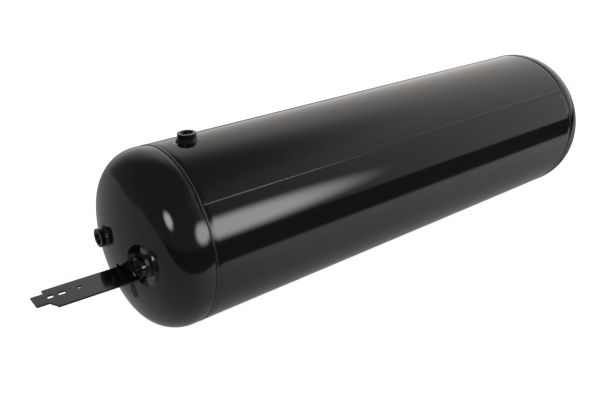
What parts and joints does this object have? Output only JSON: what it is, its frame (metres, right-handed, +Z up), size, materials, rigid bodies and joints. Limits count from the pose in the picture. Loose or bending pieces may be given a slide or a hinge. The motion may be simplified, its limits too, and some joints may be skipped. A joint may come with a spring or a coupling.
{
  "type": "compressed air reservoir",
  "caption": "Welded steel compressed-air reservoir for a truck or trailer: gloss-black cylindrical tank with dished heads, threaded port bosses and a flat bracket on the front head",
  "frame": {"origin": "on the surface the tank lies on, under the middle of its bounding box", "axes": "+X along the tank from the bracket end to the plain head, +Z up through the top port, +Y to the side away from the lengthwise seam"},
  "size_m": [1.2746, 0.3126, 0.3238],
  "materials": {
    "black_paint": "deep gloss black paint on smooth sheet steel",
    "painted_weld": "gloss black paint over a rippled weld bead",
    "painted_boss": "gloss black paint over turned steel, thread lightly oversprayed",
    "painted_bracket": "gloss black paint on laser-cut plate"
  },
  "bodies": {
    "root": {"shell": "black_paint", "seam_weld": "painted_weld", "front_head": "black_paint", "rear_head": "black_paint", "front_girth_weld": "painted_weld", "rear_girth_weld": "painted_weld", "top_port_boss": "painted_boss", "top_port_weld": "painted_weld", "left_port_boss": "painted_boss", "left_port_weld": "painted_weld", "right_port_boss": "painted_boss", "right_port_weld": "painted_weld", "bracket": "painted_bracket", "bracket_weld_left": "painted_weld", "bracket_weld_right": "painted_weld"}
  },
  "joints": []
}
